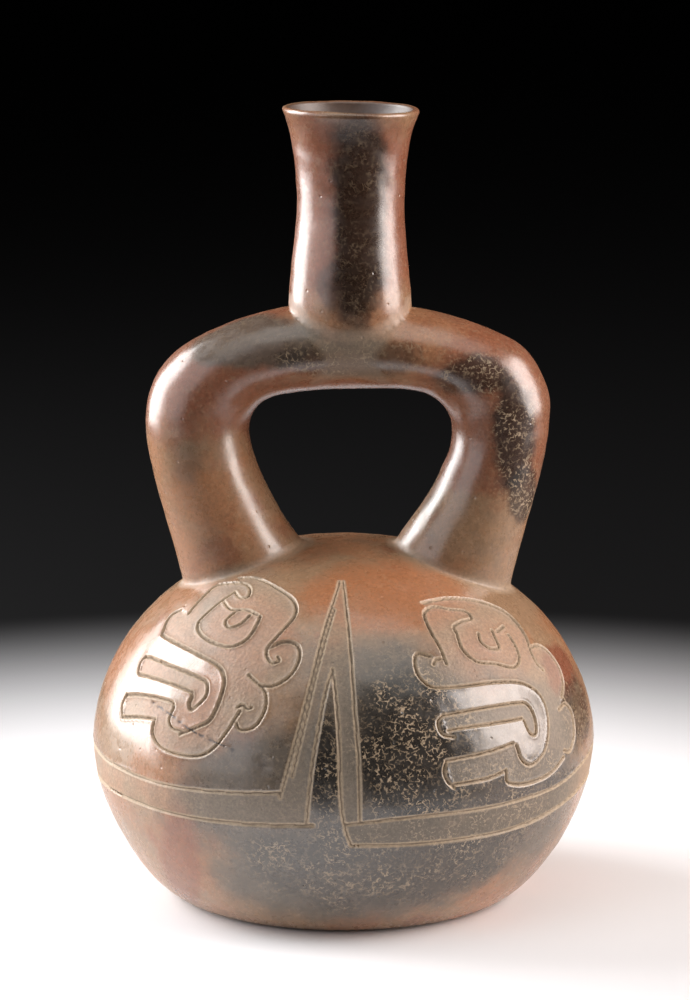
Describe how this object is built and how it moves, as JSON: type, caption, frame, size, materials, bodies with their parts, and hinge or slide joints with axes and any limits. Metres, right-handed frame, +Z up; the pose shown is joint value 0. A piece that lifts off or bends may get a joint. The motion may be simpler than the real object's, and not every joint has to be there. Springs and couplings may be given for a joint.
{
  "type": "stirrup spout vessel",
  "caption": "Round-bodied hollow clay bottle with an arched stirrup handle that is also its neck, one flared spout, and incised fanged heads, a belt and a wedge.",
  "frame": {"origin": "centre of the flat base, at the surface it stands on", "axes": "+Z up through the spout, +X along the stirrup, -Y towards the front, where the incised heads are"},
  "size_m": [0.1498, 0.15, 0.2357],
  "materials": {
    "burnished_clay": "fired clay, burnished to a soft gloss, fire-clouded from orange-brown to grey-black, matte in the incised fields"
  },
  "bodies": {
    "root": {"vessel": "burnished_clay"}
  },
  "joints": []
}
